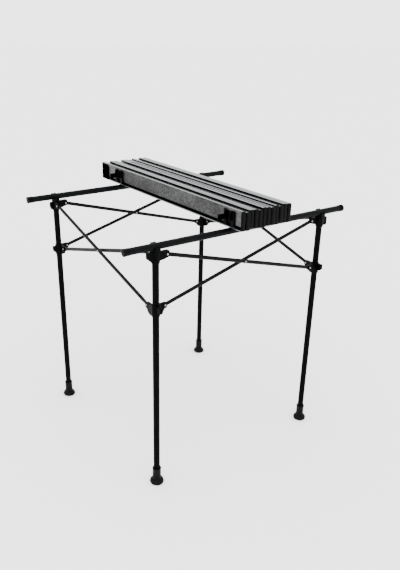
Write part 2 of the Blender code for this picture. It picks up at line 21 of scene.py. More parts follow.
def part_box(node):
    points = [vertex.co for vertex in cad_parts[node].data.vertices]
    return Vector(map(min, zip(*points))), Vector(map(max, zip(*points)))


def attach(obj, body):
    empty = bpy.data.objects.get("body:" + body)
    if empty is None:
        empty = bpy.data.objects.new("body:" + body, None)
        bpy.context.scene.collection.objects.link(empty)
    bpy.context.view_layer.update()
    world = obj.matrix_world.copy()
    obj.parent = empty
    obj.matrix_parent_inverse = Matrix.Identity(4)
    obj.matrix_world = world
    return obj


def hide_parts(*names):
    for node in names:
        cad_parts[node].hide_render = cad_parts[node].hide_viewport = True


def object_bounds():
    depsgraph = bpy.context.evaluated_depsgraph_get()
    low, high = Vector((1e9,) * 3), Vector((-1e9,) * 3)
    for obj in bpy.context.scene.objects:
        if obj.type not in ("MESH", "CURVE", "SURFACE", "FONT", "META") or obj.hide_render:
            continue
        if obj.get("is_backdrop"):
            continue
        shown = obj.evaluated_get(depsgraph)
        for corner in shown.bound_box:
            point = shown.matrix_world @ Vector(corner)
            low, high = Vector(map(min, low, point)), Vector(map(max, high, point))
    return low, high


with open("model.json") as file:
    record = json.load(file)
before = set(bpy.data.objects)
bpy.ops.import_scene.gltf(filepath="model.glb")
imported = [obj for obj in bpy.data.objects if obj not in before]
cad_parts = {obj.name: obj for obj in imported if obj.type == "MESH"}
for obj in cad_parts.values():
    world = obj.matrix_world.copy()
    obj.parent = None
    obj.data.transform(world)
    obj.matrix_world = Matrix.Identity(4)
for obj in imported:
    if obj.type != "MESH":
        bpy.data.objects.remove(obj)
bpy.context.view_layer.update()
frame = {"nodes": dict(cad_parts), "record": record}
NODES = frame["nodes"]

# %% [markdown]
# ## Bodies and places
#
# When the table folds, every piece follows one rigid body, such as a leg. The record lists
# the solids of each body, and that list turned round gives the body of any solid. A place
# could be typed in as numbers, but it is measured from the solid's box, so that a new piece
# always sits where its solid is.

# %% Bodies and places
MM = 1000.0
CORNER_NAMES = ("front_left", "front_right", "back_left", "back_right")
BODY_OF = {node: body for body, nodes in frame["record"]["behaviour"]["bodies"].items()
           for node in nodes}


def box(node):
    """Lowest and highest corner of a solid at rest, as two arrays."""
    low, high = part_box(node)
    return np.array(low), np.array(high)


def leg_axis(corner):
    """The point on the ground below a leg's axis: the middle of its box, at height 0."""
    low, high = box("leg_" + corner)
    return np.array([(low[0] + high[0]) / 2, (low[1] + high[1]) / 2, 0.0])


print("bodies:", len(set(BODY_OF.values())), "- legs stand",
      round((leg_axis("front_right") - leg_axis("front_left"))[0] * MM, 1), "mm apart")

# %% [markdown]
# ## The camera
#
# The picture was taken from the front left, well above the table top. A camera can be moved
# by eye until the outlines agree, but here its place was worked out from the feet, the hubs
# and the rails, whose real places are known. The photograph is a trimmed one, so the lens is
# shifted by the few pixels that its trim took. The sensor's width lies along the tall side.

# %% Camera
FRAME_TALL = 570
FOCAL_PIXELS = 624.0
SHIFT_PIXELS = (8, 20)
SENSOR_MM = 36.0
AZIMUTH, ELEVATION, ROLL = math.radians(36.323), math.radians(24.070), math.radians(1.132)
BESIDE_NEAR_LEG = (-0.73446, -1.14477)
CAMERA_HEIGHT = 1.13522

near_leg = leg_axis("front_left")
stand = Vector((near_leg[0] + BESIDE_NEAR_LEG[0], near_leg[1] + BESIDE_NEAR_LEG[1],
                CAMERA_HEIGHT))
forward = Vector((math.sin(AZIMUTH) * math.cos(ELEVATION),
                  math.cos(AZIMUTH) * math.cos(ELEVATION), -math.sin(ELEVATION)))
right = Vector((math.cos(AZIMUTH), -math.sin(AZIMUTH), 0.0))
up = right.cross(forward)
rolled_right = right * math.cos(ROLL) + up * math.sin(ROLL)
rolled_up = up * math.cos(ROLL) - right * math.sin(ROLL)

camera_data = bpy.data.cameras.new("studio_camera")
camera_data.sensor_width = SENSOR_MM
camera_data.lens = FOCAL_PIXELS / FRAME_TALL * SENSOR_MM
camera_data.shift_x = SHIFT_PIXELS[0] / FRAME_TALL
camera_data.shift_y = SHIFT_PIXELS[1] / FRAME_TALL
camera = bpy.data.objects.new("studio_camera", camera_data)
bpy.context.scene.collection.objects.link(camera)
camera.matrix_world = Matrix.Translation(stand) @ Matrix(
    (rolled_right, rolled_up, -forward)).transposed().to_4x4()
bpy.context.scene.camera = camera
print("lens:", round(camera_data.lens, 2), "mm, from", [round(v, 3) for v in camera.location])

# %% [markdown]
# ## Turning arrays into surfaces
#
# A lathe, a drawn tube and an extruded slat are the same kind of thing: a closed outline
# carried along a path. Modifiers exist for some of them, but a grid of points does for all,
# with rows along the path and columns round the outline. One function turns such a grid into
# a closed mesh, its faces outward and smooth except across real edges.

# %% Grid to mesh
SHARP_FROM = 35.0


def grid_faces(rows, columns):
    """Corner numbers of a closed grid's faces: its quads, then its two ends.

    The quad at (i, j) joins points (i, j), (i, j+1), (i+1, j+1) and (i+1, j), with j+1 taken
    round the outline.
    """
    index = np.arange(rows * columns).reshape(rows, columns)
    beside = np.roll(index, -1, axis=1)
    quads = np.stack([index[:-1], beside[:-1], beside[1:], index[1:]], axis=-1).reshape(-1, 4)
    return quads.tolist() + [index[0][::-1].tolist(), index[-1].tolist()]


def link(name, mesh, sharp=SHARP_FROM):
    """Puts a finished mesh in the scene with smooth faces, sharp only past the angle."""
    mesh.shade_smooth()
    mesh.set_sharp_from_angle(angle=math.radians(sharp))
    piece = bpy.data.objects.new(name, mesh)
    bpy.context.scene.collection.objects.link(piece)
    return piece


def grid_surface(name, grid, sharp=SHARP_FROM):
    """A closed skin over grid[row, column]: the columns run round, the end rows are filled."""
    mesh = bpy.data.meshes.new(name)
    mesh.from_pydata(grid.reshape(-1, 3), [], grid_faces(*grid.shape[:2]))
    work = bmesh.new()
    work.from_mesh(mesh)
    bmesh.ops.recalc_face_normals(work, faces=work.faces)
    work.to_mesh(mesh)
    work.free()
    return link(name, mesh, sharp)


print("faces of the plainest tube, two rows of 48:", len(grid_faces(2, 48)))

# %% [markdown]
# ## Round things and rounded corners
#
# Tubes, feet, plugs and rivets were all made round an axis, by drawing or turning, so one
# lathe makes them: a profile of radius and height, swept through a full turn. Flat mouldings
# and the slat's section are outlines instead, and no real outline has a perfectly sharp
# corner. A bevel could round them afterwards, but an arc put into the outline is exact.

# %% Lathe and rounded outline
ALONG = {"X": ((0, 1, 0), (0, 0, 1), (1, 0, 0)), "Y": ((0, 0, 1), (1, 0, 0), (0, 1, 0)),
         "Z": ((1, 0, 0), (0, 1, 0), (0, 0, 1))}


def turned(name, profile, origin, axis="Z", steps=48, sharp=SHARP_FROM):
    """A lathe: each (radius, height) of the profile becomes a ring.

    Point = origin + height * axis + radius * (cos a * u + sin a * v), a from 0 to a full turn.
    """
    profile = np.asarray(profile, dtype=float)
    angle = np.linspace(0.0, math.tau, steps, endpoint=False)
    u, v, w = (np.array(direction, dtype=float) for direction in ALONG[axis])
    ring = np.cos(angle)[:, None] * u + np.sin(angle)[:, None] * v
    grid = (np.asarray(origin, dtype=float) + profile[:, 1, None, None] * w
            + profile[:, 0, None, None] * ring[None])
    return grid_surface(name, grid, sharp)


def rounded(corners, radii, steps=4):
    """An outline with each corner replaced by an arc of its radius.

    Each arc is a quadratic blend, (1-t)^2 * a + 2t(1-t) * corner + t^2 * b, between the points
    a and b that lie one radius back along the two edges.
    """
    corners = np.asarray(corners, dtype=float)
    radii = np.broadcast_to(radii, len(corners)).astype(float)
    before = np.roll(corners, 1, axis=0) - corners
    after = np.roll(corners, -1, axis=0) - corners
    a = corners + before / np.linalg.norm(before, axis=1)[:, None] * radii[:, None]
    b = corners + after / np.linalg.norm(after, axis=1)[:, None] * radii[:, None]
    t = np.linspace(0.0, 1.0, steps)[None, :, None]
    arcs = (1 - t) ** 2 * a[:, None] + 2 * t * (1 - t) * corners[:, None] + t ** 2 * b[:, None]
    return arcs.reshape(-1, 2)


print("points of a rounded square:", len(rounded([(0, 0), (1, 0), (1, 1), (0, 1)], 0.1)))

# %% [markdown]
# ## Colours, nodes and an empty finish
#
# Almost everything is black, and what tells the pieces apart is how they shine. Colours are
# given as hex codes and the shader wants linear light, so one function converts them, and one
# more adds any node. Values that are the same all over go straight onto the shader's sockets.
# Patterns read Object coordinates, which stay fixed to a piece when it moves and are in
# metres, so a pattern's size can be given in real millimetres.

# %% Colour and node helpers
def linear(code):
    """The linear colour of a hex code: c/12.92 up to 0.04, ((c+0.055)/1.055)^2.4 above."""
    c = np.array([int(code[i:i + 2], 16) for i in (1, 3, 5)]) / 255.0
    value = np.where(c <= 0.04045, c / 12.92, ((c + 0.055) / 1.055) ** 2.4)
    return (*value.tolist(), 1.0)


def per_mm(size_mm):
    """Pattern scale whose cells are about size_mm across: 1000 / size_mm to the metre."""
    return MM / size_mm


def add(tree, kind, settings=None, **links):
    """Adds one node, sets its properties and values, and links the sockets that are named.

    A socket that shares its name with others is given by its number: 7 in the settings, s7 in
    the links.
    """
    node = tree.nodes.new(kind)
    for key, value in (settings or {}).items():
        if isinstance(key, int) or key in node.inputs:
            node.inputs[key].default_value = value
        else:
            setattr(node, key, value)
    for socket, source in links.items():
        name = socket.replace("_", " ")
        tree.links.new(source, node.inputs[int(socket[1:]) if socket[1:].isdigit() else name])
    return node


def finish(name, colour, roughness, metallic=0.0, gloss=0.5):
    """An empty material; gloss is the strength of its reflection, and a metal keeps its own."""
    material = bpy.data.materials.new(name)
    material.use_nodes = True
    shader = material.node_tree.nodes["Principled BSDF"]
    shader.inputs["Base Color"].default_value = linear(colour)
    shader.inputs["Roughness"].default_value = roughness
    shader.inputs["Metallic"].default_value = metallic
    if metallic == 0.0:
        shader.inputs["Specular IOR Level"].default_value = gloss
    return material, material.node_tree, shader


print("mid grey #808080 in linear light:", round(linear("#808080")[0], 3))

# %% [markdown]
# ## Breaking up a flat finish
#
# No real surface is one colour and one gloss all over. On coat, nylon and metal alike, a slow
# pattern shifts colour and gloss together, and a finer one raises the surface. The patterns
# differ from finish to finish, but what they drive does not, so one function joins them on.

# %% Break up
def break_up(tree, shader, drift, grain, tones, places, roughness, spread, bump, relief):
    """Lets a drift pattern move colour and roughness, and a grain pattern raise the surface.

    Colour runs from the first tone to the second while the drift goes from places[0] to
    places[1], and roughness from roughness + spread[0] to roughness + spread[1] over its whole
    range. Height is the grain times relief, in metres, weighted by bump.
    """
    tone = add(tree, "ShaderNodeValToRGB", Fac=drift)
    for element, place, code in zip(tone.color_ramp.elements, places, tones):
        element.position = place
        element.color = linear(code)
    tree.links.new(tone.outputs["Color"], shader.inputs["Base Color"])
    dull = add(tree, "ShaderNodeMapRange",
               {"To Min": roughness + spread[0], "To Max": roughness + spread[1]}, Value=drift)
    tree.links.new(dull.outputs["Result"], shader.inputs["Roughness"])
    raised = add(tree, "ShaderNodeBump", {"Strength": bump, "Distance": relief}, Height=grain)
    tree.links.new(raised.outputs["Normal"], shader.inputs["Normal"])


print("a relief of 0.2 mm is", 0.2 / MM, "in metres")

# %% [markdown]
# ## Coated steel
#
# Legs, rails and bars are steel tube under powder coat: a dry paint that is baked until it
# flows. It sets to an even black with a soft gloss and a slight pebble. A glossy black would
# give hard white lines along the tubes and a matt one would look like paper, so the reflection
# is weak and rather wide, and the pebble breaks it. The real pebble is about 0.5 mm and is
# drawn at 1.4 mm to show at all.

# %% Coated steel
DRIFT_MM = 38.0
PEBBLE_MM = 1.4


def coated_steel(name, low, high, roughness, gloss):
    """Powder coat: colour and gloss drift over a hand's width, and a fine pebble on top."""
    material, tree, shader = finish(name, low, roughness, gloss=gloss)
    place = add(tree, "ShaderNodeTexCoord").outputs["Object"]
    drift = add(tree, "ShaderNodeTexNoise", {"Scale": per_mm(DRIFT_MM), "Detail": 3.0},
                Vector=place).outputs["Fac"]
    pebble = add(tree, "ShaderNodeTexNoise", {"Scale": per_mm(PEBBLE_MM), "Detail": 2.0},
                 Vector=place).outputs["Fac"]
    break_up(tree, shader, drift, pebble, tones=(low, high), places=(0.35, 0.70),
             roughness=roughness, spread=(-0.06, 0.08), bump=0.10, relief=0.0002)
    return material


# Each coat: its darker and lighter tone, roughness and gloss
# Legs: a deep black with one soft, thin line of light down the tube
LEG_COAT = coated_steel("black_powder_coat_leg", "#010101", "#030303", 0.46, 0.02)
# Bars: a shade lighter, painted for the light along the thin bars, and glossier, so that they
# read as round though they are thin
LIT_BAR_COAT = coated_steel("black_powder_coat_bar_painted_light", "#020202", "#060606", 0.40, 0.045)
# Rails: a trace of blue in the black, cold beside the legs
RAIL_COAT = coated_steel("blue_black_powder_coat_rail", "#010203", "#040607", 0.42, 0.04)
print("coats:", [coat.name for coat in (LEG_COAT, LIT_BAR_COAT, RAIL_COAT)])

# %% [markdown]
# ## Moulded nylon and rubber
#
# Hubs, sliders, clips, caps and plugs are injection-moulded nylon, and the feet are rubber.
# A spark-eroded steel mould leaves an even grain of tiny craters on them. Noise is too soft
# for that, and a Voronoi pattern's rounded cells look right. The real grain is about 0.1 mm,
# far under a pixel, and is drawn at about 1 mm.

# %% Moulded nylon and rubber
CLOUD_MM = 12.0


def moulded(name, low, high, roughness, gloss, grain_mm, bump):
    """Nylon or rubber out of an eroded mould: an even grain and a dull, cloudy sheen."""
    material, tree, shader = finish(name, low, roughness, gloss=gloss)
    place = add(tree, "ShaderNodeTexCoord").outputs["Object"]
    cloud = add(tree, "ShaderNodeTexNoise", {"Scale": per_mm(CLOUD_MM), "Detail": 4.0},
                Vector=place).outputs["Fac"]
    craters = add(tree, "ShaderNodeTexVoronoi", {"Scale": per_mm(grain_mm)},
                  Vector=place).outputs["Distance"]
    break_up(tree, shader, cloud, craters, tones=(low, high), places=(0.30, 0.75),
             roughness=roughness, spread=(-0.05, 0.07), bump=bump, relief=0.0002)
    return material


# Each moulding: its two tones, roughness, gloss, grain in mm and bump
# Hubs and sliders: nearly no sheen, so that only their rounded edges catch light
NYLON = moulded("moulded_nylon_joint", "#010101", "#040404", 0.40, 0.02, 0.9, 0.12)
# Rail clips: the same nylon, a shade deeper in the stack's shadow
CLIP_NYLON = moulded("moulded_nylon_clip", "#010101", "#030303", 0.42, 0.02, 0.9, 0.10)
# Near end caps: a lighter tone, painted for the light on their faces, and glossier, so that the
# row shows as pillars with dark slots
LIT_CAP_NYLON = moulded("moulded_nylon_end_cap_painted_light", "#030303", "#070707", 0.40, 0.035, 1.1, 0.16)
# Far shoes: a flat deep black that gives back almost nothing
SHOE_NYLON = moulded("moulded_nylon_shoe", "#000000", "#020202", 0.46, 0.0, 0.9, 0.10)
# Rail plugs: the smoothest moulding, with a small spot of light on its rim
PLUG_NYLON = moulded("moulded_nylon_plug", "#010101", "#030303", 0.36, 0.03, 0.9, 0.08)
# Feet: rubber is greyer and duller, with a wide highlight and the strongest grain
FOOT_RUBBER = moulded("black_rubber_foot", "#030303", "#070707", 0.50, 0.05, 1.2, 0.20)
# Painted shade: black where the gaps between slats and the grooves by the beads lie in shade,
# drawn as black lines along the stack
SHADE_PAINT = moulded("painted_gap_shade", "#000000", "#010101", 0.6, 0.0, 1.0, 0.05)
print("mouldings:", [nylon.name for nylon in (NYLON, CLIP_NYLON, LIT_CAP_NYLON, SHOE_NYLON,
                                               PLUG_NYLON, FOOT_RUBBER, SHADE_PAINT)])

# %% [markdown]
# ## Bare metals
#
# The slats are mill-finish aluminium, as it comes out of the extrusion die. The die scores
# it along its length, so each slat has long streaks. Noise does this when it is stretched 300
# times along Y. The real score lines are finer than 0.5 mm and are drawn at 14 mm and below,
# because a slat on edge is at most two pixels wide in the picture. The rivets are zinc plated,
# without streaks.

# %% Bare metals
def drawn_metal(name, low, high, roughness, streak_mm, streak_run, bump):
    """Metal drawn along Y: noise cells are streak_run times as long as they are wide."""
    material, tree, shader = finish(name, low, roughness, metallic=1.0)
    place = add(tree, "ShaderNodeTexCoord").outputs["Object"]
    stretch = add(tree, "ShaderNodeMapping", {"Scale": (1.0, 1.0 / streak_run, 1.0)},
                  Vector=place)
    streak = add(tree, "ShaderNodeTexNoise",
                 {"Scale": per_mm(streak_mm), "Detail": 5.0, "Roughness": 0.82},
                 Vector=stretch.outputs["Vector"]).outputs["Fac"]
    break_up(tree, shader, streak, streak, tones=(low, high), places=(0.40, 0.60),
             roughness=roughness, spread=(-0.08, 0.12), bump=bump, relief=0.0001)
    return material


# Each metal: its two tones, roughness, streaks' width in mm, their stretch, and bump
# Slats: satin grey with long darker and lighter streaks, so that no two slats look alike
ALUMINIUM = drawn_metal("mill_finish_aluminium", "#222426", "#7b7e81", 0.34, 14.0, 300.0, 0.12)
# Rivets: a small cool point of light at each joint
ZINC = drawn_metal("zinc_plated_rivet", "#56595b", "#929597", 0.32, 2.0, 1.0, 0.05)
print("metals:", [metal.name for metal in (ALUMINIUM, ZINC)])

# %% [markdown]
# ## The slats' undersides
#
# The recessed web under a slat is etched and not polished: a dull, blotched grey with small
# light flecks, only half metallic to the eye. It is lighter toward both ends. One noise would
# give blotches or flecks, so a wide and a fine one are mixed. Real flecks are 1 to 2 mm and are
# drawn at 5.5 mm to show.

# %% Underside
BLOTCH_MM, FLECK_MM, FLECK_SHARE = 110.0, 5.5, 0.62
LIGHTER_FROM, LIGHTER_TO, LIGHTER_MOST = 0.24, 0.33, 0.16


def etched_aluminium(name, dark, light, bright):
    """Blotches and flecks from dark to light, and a share of bright toward both ends.

    Pattern = 0.38 * blotch + 0.62 * fleck. The share is 0.16 * (|y| - 0.24) / 0.09, held
    between 0 and 0.16.
    """
    material, tree, shader = finish(name, "#6a6c6d", 0.55, metallic=0.55)
    place = add(tree, "ShaderNodeTexCoord").outputs["Object"]
    blotch = add(tree, "ShaderNodeTexNoise",
                 {"Scale": per_mm(BLOTCH_MM), "Detail": 6.0, "Roughness": 0.60}, Vector=place)
    fleck = add(tree, "ShaderNodeTexNoise",
                {"Scale": per_mm(FLECK_MM), "Detail": 4.0, "Roughness": 0.7},
                Vector=place).outputs["Fac"]
    both = add(tree, "ShaderNodeMix", {"data_type": "FLOAT", "Factor": FLECK_SHARE},
               A=blotch.outputs["Fac"], B=fleck)
    tone = add(tree, "ShaderNodeValToRGB", Fac=both.outputs["Result"])
    for element, at, code in zip(tone.color_ramp.elements, (0.45, 0.59), (dark, light)):
        element.position = at
        element.color = linear(code)
    along = add(tree, "ShaderNodeSeparateXYZ", Vector=place).outputs["Y"]
    off_middle = add(tree, "ShaderNodeMath", {"operation": "ABSOLUTE"}, s0=along)
    toward_ends = add(tree, "ShaderNodeMapRange",
                 {"From Min": LIGHTER_FROM, "From Max": LIGHTER_TO, "To Max": LIGHTER_MOST},
                 Value=off_middle.outputs["Value"])
    ends_lighter = add(tree, "ShaderNodeMix", {"data_type": "RGBA", 7: linear(bright)},
                  s0=toward_ends.outputs["Result"], s6=tone.outputs["Color"])
    tree.links.new(ends_lighter.outputs[2], shader.inputs["Base Color"])
    raised = add(tree, "ShaderNodeBump", {"Strength": 0.25, "Distance": 0.0003}, Height=fleck)
    tree.links.new(raised.outputs["Normal"], shader.inputs["Normal"])
    return material


# Undersides: a dull dark grey that looks cloudy from afar and speckled from near
BLOTCHED = etched_aluminium("etched_aluminium_underside", "#080908", "#3f413f", "#8a8c8a")
print("underside:", BLOTCHED.name, "with", len(BLOTCHED.node_tree.nodes), "nodes")

# %% [markdown]
# ## Handing a piece over
#
# A new piece needs three things besides its shape: a finish, the body that it moves with, and
# the solid that it stands for, which is hidden. One function for all three makes it hard to
# forget one. A rivet hides nothing.

# %% Dress
def dress(piece, material, node, hide=()):
    """Gives a piece its finish, its body and the solid that it stands for."""
    piece.data.materials.clear()
    piece.data.materials.append(material)
    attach(piece, BODY_OF[node])
    if hide:
        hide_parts(*hide)
    return piece


print("solids waiting for a finer surface:", len(NODES))

# %% [markdown]
# ## Legs
#
# A leg is a plain drawn tube, cut square. Hub and foot close its ends, so only the outside
# shows, and a lathe with a straight side is all it needs. A point 1 mm in from the wall keeps
# each end flat and its edge crisp.

# %% Leg tube
END_RING = 0.0010


def tube_profile(radius, start, stop):
    """(radius, height) of a square-cut tube: in from the wall, up its side, and in again."""
    return [(radius - END_RING, start), (radius, start), (radius, stop),
            (radius - END_RING, stop)]


def leg_tube(corner):
    """The whole leg, as wide and as tall as its solid."""
    low, high = box("leg_" + corner)
    profile = tube_profile((high[0] - low[0]) / 2, low[2], high[2])
    return turned("leg_tube_" + corner, profile, leg_axis(corner))


print("a leg goes up to", round(box("leg_front_left")[1][2] * MM, 1), "mm")

# %% [markdown]
# ## Feet
#
# A foot is a soft cup: a neck that grips the tube, swelling to a dome that spreads the load
# on soft ground. It is moulded as a body of rotation, so it is a lathe too. Rubber has no sharp
# edge anywhere, and small steps in the profile round the sole and the rim at its mouth.

# %% Legs and feet
FOOT_NECK, FOOT_COLLAR = 0.0114, 0.0012
SOLE_TOP, DOME_RISE = 0.0046, 0.0082
MOULD_SHARP = 50.0
POLE = (0.0004, 0.0)
SOLE_EDGE = np.array([(-3.0, 0.0), (-1.4, 0.5), (-1.0, 1.4), (-1.2, 2.2), (-0.3, 3.0)]) / MM
NECK_LINE = np.array([(0.5, 13.6), (0.0, 15.5), (0.0, 44.7), (0.4, 45.2), (0.6, 45.8),
                      (0.6, 47.2), (0.3, 47.9), (-0.4, 48.0), (-1.2, 48.0)]) / MM


def foot_profile(neck, widest):
    """Radius and height from the ground up: sole, dome, neck, rolled rim, and the mouth.

    The dome turns through a quarter a: radius = neck + collar + (widest - neck - collar) *
    (cos a)^0.9, height = 4.6 mm + 8.2 mm * (sin a)^1.1. The sole's edge is measured from the
    widest radius, and the neck's line from the neck.
    """
    turn = np.linspace(0.0, math.pi / 2, 12)
    dome_r = neck + FOOT_COLLAR + (widest - neck - FOOT_COLLAR) * np.cos(turn) ** 0.9
    dome_z = SOLE_TOP + DOME_RISE * np.sin(turn) ** 1.1
    return np.concatenate([[POLE], SOLE_EDGE + (widest, 0.0),
                           np.stack([dome_r, dome_z], axis=1), NECK_LINE + (neck, 0.0)])


for corner in CORNER_NAMES:
    dress(leg_tube(corner), LEG_COAT, "leg_" + corner, ["leg_" + corner])
    low, high = box("foot_" + corner)
    profile = foot_profile(FOOT_NECK, (high[0] - low[0]) / 2)
    foot = turned("rubber_foot_" + corner, profile, leg_axis(corner), steps=56,
                  sharp=MOULD_SHARP)
    dress(foot, FOOT_RUBBER, "foot_" + corner, ["foot_" + corner])
print("legs and feet:", len(CORNER_NAMES), "each, a foot is", round((high[0] - low[0]) * MM, 1),
      "mm wide")

# %% [markdown]
# ## Rails and end plugs
#
# The rails lie loose in the hub saddles, and the stack lies on them. Each is a tube like a
# leg, turned to lie along X. Its ends wear moulded caps, a little wider than the tube, with a
# rounded front edge and a shallow groove behind it. A cap is a lathe as well, measured back
# from its tip, so that one list serves left and right.

# %% Rails and plugs
TIP_LINE = np.array([(2.2, 0.0), (0.8, 0.3), (0.1, 1.2), (0.0, 2.6), (0.2, 3.2), (0.5, 3.6)]) / MM
MOUTH_LINE = np.array([(0.5, 1.0), (0.7, 0.3), (1.2, 0.0)]) / MM


def plug_profile(grip, tip, mouth, out):
    """Radius = grip - inset; place along X = tip - out * distance, or mouth + out * distance.

    out is 1 on the right and -1 on the left.
    """
    front = np.stack([grip - TIP_LINE[:, 0], tip - out * TIP_LINE[:, 1]], axis=1)
    rear = np.stack([grip - MOUTH_LINE[:, 0], mouth + out * MOUTH_LINE[:, 1]], axis=1)
    return np.concatenate([[(POLE[0], tip)], front, rear])


for row in ("front", "back"):
    rail = "rail_" + row
    low, high = box(rail)
    middle = (low + high) / 2
    axis_point = (0.0, middle[1], middle[2])
    radius = (high[2] - low[2]) / 2
    tube = turned("rail_tube_" + row, tube_profile(radius, low[0], high[0]), axis_point, axis="X")
    dress(tube, RAIL_COAT, rail, [rail])
    for side, out in (("left", -1.0), ("right", 1.0)):
        plug = f"{rail}_plug_{side}"
        p_low, p_high = box(plug)
        tip, mouth = (p_high[0], p_low[0]) if out > 0 else (p_low[0], p_high[0])
        profile = plug_profile((p_high[2] - p_low[2]) / 2, tip, mouth, out)
        piece = turned(f"rail_cap_{row}_{side}", profile, axis_point, axis="X",
                       sharp=MOULD_SHARP)
        dress(piece, PLUG_NYLON, plug, [plug])
print("rails:", round((high[0] - low[0]) * MM, 1), "mm long, plugs to",
      round(p_high[0] * MM, 1), "mm from the middle")

# %% [markdown]
# ## Hubs and sliders
#
# A hub closes a leg's top, holds two bars in its forks and a rail in its saddle. A slider runs
# on the leg and holds the bars' other ends. Both are mouldings with the right shape already.
# What the plain solids lack is the small round that a mould leaves on every edge, and that
# catches the light. Drawing them anew would risk the fit, so a copy of the solid has its loose
# triangles merged and its flats cleaned, and a narrow bevel runs over its sharp edges.

# %% Hubs and sliders
MERGE_WITHIN = 0.00002
FLAT_WITHIN = 1.5
EDGE_FROM = 32.0
JOINT_EDGE, CLIP_EDGE = 0.0005, 0.0004


def softened(name, node, width):
    """A copy of a solid with merged points, dissolved flats and a narrow rounded edge."""
    mesh = NODES[node].data.copy()
    mesh.name = name
    work = bmesh.new()
    work.from_mesh(mesh)
    bmesh.ops.remove_doubles(work, verts=work.verts, dist=MERGE_WITHIN)
    bmesh.ops.dissolve_limit(work, angle_limit=math.radians(FLAT_WITHIN), verts=work.verts,
                             edges=work.edges)
    work.to_mesh(mesh)
    work.free()
    piece = link(name, mesh, EDGE_FROM)
    bevel = piece.modifiers.new("moulded_edge", "BEVEL")
    bevel.width = width
    bevel.segments = 2
    bevel.limit_method = "ANGLE"
    bevel.angle_limit = math.radians(EDGE_FROM)
    return piece


for corner in CORNER_NAMES:
    hub = softened("corner_hub_" + corner, "hub_" + corner, JOINT_EDGE)
    dress(hub, NYLON, "hub_" + corner, ["hub_" + corner])
    slider = softened("leg_slider_" + corner, "slider_" + corner, JOINT_EDGE)
    dress(slider, NYLON, "slider_" + corner, ["slider_" + corner])
print("hub faces after cleaning:", len(hub.data.polygons), "slider:", len(slider.data.polygons))

# %% [markdown]
# ## The ears
#
# Each hub and slider seems to have a third lug, an ear that no bar uses, perhaps so that one
# mould can serve left and right. It is a flat plate with a slanted lower edge, and differs a
# little from corner to corner. A box with a bevel could do, but the slant asks for an outline,
# in millimetres from the leg's axis and above the ground, carried across its thickness. The
# front sliders' ears point forward, and all the others sideways.

# %% Ears
EAR_HALF, EAR_EDGE, EAR_ROUND, EAR_FACE = 0.0046, 0.0007, 0.0014, 0.94
PLATE_SHARP = 40.0
BACK_HUB_EAR = [(8.6, 658.5), (17.8, 658.5), (17.8, 644.0), (14.0, 636.0), (8.6, 636.0)]
HUB_EARS = {
    "front_left": [(9.2, 661.8), (24.2, 661.8), (24.2, 647.2), (13.2, 638.0), (9.2, 638.0)],
    "front_right": [(9.2, 659.0), (24.2, 659.0), (24.2, 638.0), (21.0, 636.0), (9.2, 636.0)],
    "back_left": BACK_HUB_EAR, "back_right": BACK_HUB_EAR}
FRONT_EAR = [(9.2, 527.2), (25.0, 527.2), (25.0, 513.0), (21.0, 509.0), (9.2, 508.4)]
BACK_EAR = [(8.6, 523.5), (18.8, 523.5), (18.8, 511.0), (15.0, 505.5), (8.6, 505.0)]


def ear(name, corner, outline, along_x):
    """An outline of (distance from the leg, height), outward along X or Y, carried across it.

    The first and last outlines are 94% of the others, which rounds the two faces' edges.
    """
    middle = leg_axis(corner)
    shape = rounded(np.array(outline) / MM, EAR_ROUND, 5)
    centre = shape.mean(axis=0)
    sizes = np.array([EAR_FACE, 1.0, 1.0, EAR_FACE])
    outlines = centre + (shape - centre) * sizes[:, None, None]
    depth = np.array([-EAR_HALF, EAR_EDGE - EAR_HALF, EAR_HALF - EAR_EDGE, EAR_HALF])
    main, other = (0, 1) if along_x else (1, 0)
    grid = np.empty(outlines.shape[:2] + (3,))
    grid[..., main] = middle[main] + np.sign(middle[main]) * outlines[..., 0]
    grid[..., other] = middle[other] + depth[:, None]
    grid[..., 2] = outlines[..., 1]
    return grid_surface(name, grid, PLATE_SHARP)


for corner in CORNER_NAMES:
    front = corner.startswith("front")
    hub_ear = ear("hub_ear_" + corner, corner, HUB_EARS[corner], True)
    dress(hub_ear, NYLON, "hub_" + corner)
    slider_ear = ear("slider_ear_" + corner, corner, FRONT_EAR if front else BACK_EAR, not front)
    dress(slider_ear, NYLON, "slider_" + corner)
print("ears:", 2 * len(CORNER_NAMES), "plates of", round(2 * EAR_HALF * MM, 1), "mm")

# %% [markdown]
# ## Rail clips
#
# The two outermost slats carry a clip near each end, with a cradle that comes over a rail
# when the top is laid out, and a tab. It never moves on its slat. A new mesh could be drawn,
# but the solids are right except for their edges, so they are softened as the hubs were.

# %% Rail clips
CLIPS = ("clip_01_front", "clip_01_back", "clip_12_front", "clip_12_back")
for clip in CLIPS:
    piece = softened("rail_" + clip, clip, CLIP_EDGE)
    dress(piece, CLIP_NYLON, clip, [clip])
print("clips:", len(CLIPS), "on", sorted({BODY_OF[clip] for clip in CLIPS}))

# %% [markdown]
# ## Scissor bars
#
# Each bar is a thin tube whose ends were pressed flat to fit the forks. The pressing widens
# the end and thins it. A tube with a scaled end would show a kink there, so the outline is
# carried along the bar, and its width, thickness and squareness change along one smooth step,
# which gives the soft shoulder of the real pressing.

# %% Bar shape
BAR_R, OVAL = 0.0040, 1.30
FLAT_HALF, TIP_WIDE = 0.0014, 1.32 * BAR_R
PRESSED_TO, SHOULDER, FINE_TO = 0.013, 0.012, 0.026
TIP_STATIONS = np.array([-1.0, -0.97, -0.88, -0.72, -0.5, -0.25]) * TIP_WIDE


